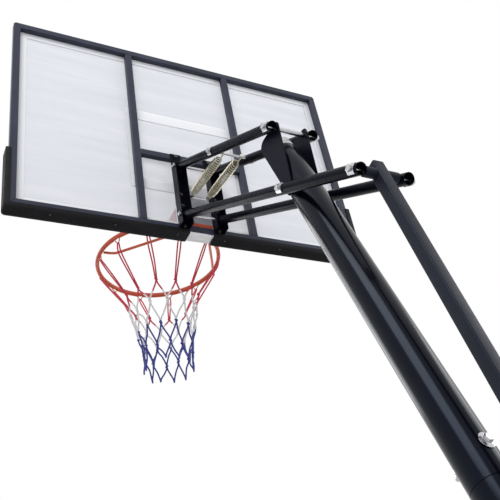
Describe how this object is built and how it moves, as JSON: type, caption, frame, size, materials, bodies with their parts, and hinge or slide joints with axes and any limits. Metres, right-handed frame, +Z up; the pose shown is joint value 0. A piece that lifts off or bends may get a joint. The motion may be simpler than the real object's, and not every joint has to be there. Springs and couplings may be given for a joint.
{
  "type": "portable basketball hoop",
  "caption": "Free-standing basketball hoop: framed clear backboard, ring and net on a spring-assisted parallel-arm lift, leaning round pole and weighted wheeled base.",
  "frame": {"origin": "on the ground, under the middle of the whole object's bounding box", "axes": "+Z up, -Y towards the court in front of the board, +X to the left of a viewer behind the board"},
  "size_m": [1.304, 2.942, 3.757],
  "materials": {
    "frame_paint": "satin slate blue-grey paint",
    "pole_paint": "glossy blue-black paint",
    "arm_paint": "semi-gloss black paint",
    "zinc": "bright zinc plate",
    "spring_steel": "yellowish zinc plate",
    "rim_paint": "orange-red paint",
    "acrylic": "clear frosted sheet",
    "pad_plastic": "black moulded plastic",
    "net_cord": "knotted polyester cord in red, white and blue bands",
    "tank_plastic": "black blow-moulded plastic",
    "sand": "dry sand",
    "rubber": "black rubber"
  },
  "bodies": {
    "root": {"pole_lower": "pole_paint", "pole_middle": "pole_paint", "pole_upper": "pole_paint", "pole_cap": "zinc", "pole_seam_bolt_upper": "zinc", "pole_seam_bolt_lower": "zinc", "pivot_plate_left": "arm_paint", "pivot_plate_right": "arm_paint", "upper_pivot_spacer": "arm_paint", "adjuster_bracket": "arm_paint", "base_tank": "tank_plastic", "sand_ballast": "sand", "filler_cap": "tank_plastic", "pole_foot_socket": "arm_paint", "base_brace_left": "frame_paint", "base_brace_right": "frame_paint", "brace_bolt_top": "zinc", "brace_bolt_foot": "zinc", "wheel_axle": "zinc"},
    "lower_arms": {"lower_arm_left": "arm_paint", "lower_arm_right": "arm_paint", "lower_pivot_bolt": "zinc", "rear_pivot_bolt": "zinc"},
    "upper_arms": {"upper_arm_left": "arm_paint", "upper_arm_right": "arm_paint", "upper_pivot_bolt": "zinc", "spring_rod": "zinc", "spring_left": "spring_steel", "spring_right": "spring_steel"},
    "board": {"backboard_panel": "acrylic", "backboard_frame": "frame_paint", "edge_pad_left": "pad_plastic", "edge_pad_right": "pad_plastic", "rim_ring": "rim_paint", "rim_bracket": "rim_paint", "rim_back_plate": "zinc", "rim_brace": "rim_paint", "net_hook_wire": "rim_paint", "net": "net_cord", "rim_bolt_left_low": "zinc", "rim_bolt_left_high": "zinc", "rim_bolt_right_low": "zinc", "rim_bolt_right_high": "zinc", "board_bracket_left": "arm_paint", "board_bracket_right": "arm_paint", "bracket_tie_plate": "rim_paint", "bracket_bolt_left_low": "zinc", "bracket_bolt_left_high": "zinc", "bracket_bolt_right_low": "zinc", "bracket_bolt_right_high": "zinc", "upper_front_bolt": "zinc", "lower_front_bolt": "zinc"},
    "strut": {"strut_tube": "frame_paint", "strut_handle": "frame_paint", "handle_grip": "rubber", "clamp_bolt": "zinc"},
    "clamp": {"clamp_knob": "tank_plastic"},
    "wheel_left": {"wheel_left": "rubber"},
    "wheel_right": {"wheel_right": "rubber"}
  },
  "joints": [
    {"name": "height_adjust", "type": "hinge", "parent": "root", "child": "lower_arms", "pos_m": [0, -0.22299, 2.5606], "axis": [1, 0, 0], "range_deg": [0, 65]},
    {"name": "upper_arm_pivot", "type": "hinge", "parent": "root", "child": "upper_arms", "pos_m": [0, -0.22299, 2.7806], "axis": [1, 0, 0], "range_deg": [0, 65]},
    {"name": "board_pivot", "type": "hinge", "parent": "upper_arms", "child": "board", "pos_m": [0, -0.8055, 3.156], "axis": [1, 0, 0], "range_deg": [-65, 0], "deforming": ["spring_left", "spring_right"]},
    {"name": "strut_pivot", "type": "hinge", "parent": "lower_arms", "child": "strut", "pos_m": [0, 0.0544, 2.38183], "axis": [1, 0, 0], "range_deg": [-65, 0]},
    {"name": "clamp_knob_turn", "type": "hinge", "parent": "strut", "child": "clamp", "pos_m": [0.0229, 0.27974, 1.25413], "axis": [1, 0, 0], "range_deg": [-360, 0]},
    {"name": "wheel_left_spin", "type": "hinge", "parent": "root", "child": "wheel_left", "pos_m": [0.26, 0.309, 0.055], "axis": [1, 0, 0], "continuous": true},
    {"name": "wheel_right_spin", "type": "hinge", "parent": "root", "child": "wheel_right", "pos_m": [-0.26, 0.309, 0.055], "axis": [1, 0, 0], "continuous": true}
  ],
  "couplings": [
    {"joint": "upper_arm_pivot", "follows": "height_adjust", "ratio": 1},
    {"joint": "board_pivot", "follows": "height_adjust", "ratio": -1},
    {"joint": "strut_pivot", "follows": "height_adjust", "ratio": -1}
  ]
}
